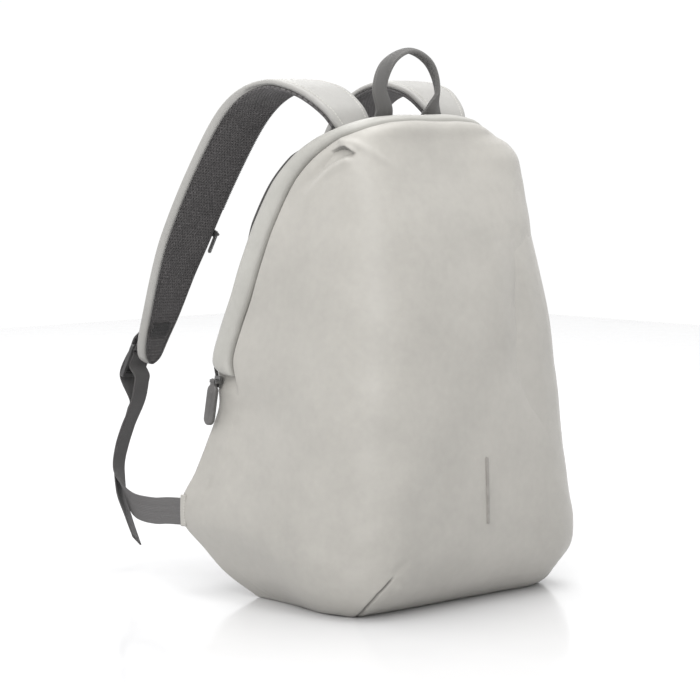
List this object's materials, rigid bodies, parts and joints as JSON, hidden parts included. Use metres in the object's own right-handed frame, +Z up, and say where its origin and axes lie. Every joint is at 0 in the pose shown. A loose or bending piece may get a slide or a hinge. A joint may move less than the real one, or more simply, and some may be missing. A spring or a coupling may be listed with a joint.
{
  "type": "backpack",
  "caption": "Soft city backpack standing upright, with a wrap-round zip band, padded back panel, carry handle, shoulder straps with ladder buckles and hinged zip pulls.",
  "frame": {"origin": "middle of the footprint of the whole backpack, on the floor it stands on", "axes": "+Z up, +X towards the right side seen from the front, +Y towards the wearer's back; the front faces -Y"},
  "size_m": [0.312, 0.4082, 0.4952],
  "materials": {
    "shell_cloth": "matte",
    "band_cloth": "matte",
    "cover_cloth": "matte",
    "mesh_cloth": "matte",
    "webbing_cloth": "matte",
    "hard_plastic": "satin",
    "pull_rubber": "matte",
    "dark_metal": "satin",
    "reflective_film": "satin"
  },
  "bodies": {
    "bag": {"shell": "shell_cloth", "zip_band": "band_cloth", "back_panel": "mesh_cloth", "handle": "webbing_cloth", "strap_cover_left": "cover_cloth", "strap_cover_right": "cover_cloth", "strap_pad_left": "mesh_cloth", "strap_pad_right": "mesh_cloth", "ladder_buckle_left": "hard_plastic", "ladder_buckle_right": "hard_plastic", "buckle_loop_left": "webbing_cloth", "buckle_loop_right": "webbing_cloth", "webbing_left": "webbing_cloth", "webbing_right": "webbing_cloth", "strap_patch": "mesh_cloth", "reflective_strip": "reflective_film", "main_zip_slider": "dark_metal", "strap_zip_slider": "dark_metal"},
    "main_pull": {"main_zip_pull": "pull_rubber"},
    "strap_pull": {"strap_zip_pull": "dark_metal"}
  },
  "joints": [
    {"name": "main_pull_swing", "type": "hinge", "parent": "bag", "child": "main_pull", "pos_m": [-0.14359, 0.00466, 0.19603], "axis": [0, 0.9971, 0.0767], "range_deg": [0, 140]},
    {"name": "strap_pull_swing", "type": "hinge", "parent": "bag", "child": "strap_pull", "pos_m": [-0.05078, 0.11008, 0.32381], "axis": [0.0421, -0.9024, -0.4289], "range_deg": [0, 140]}
  ]
}
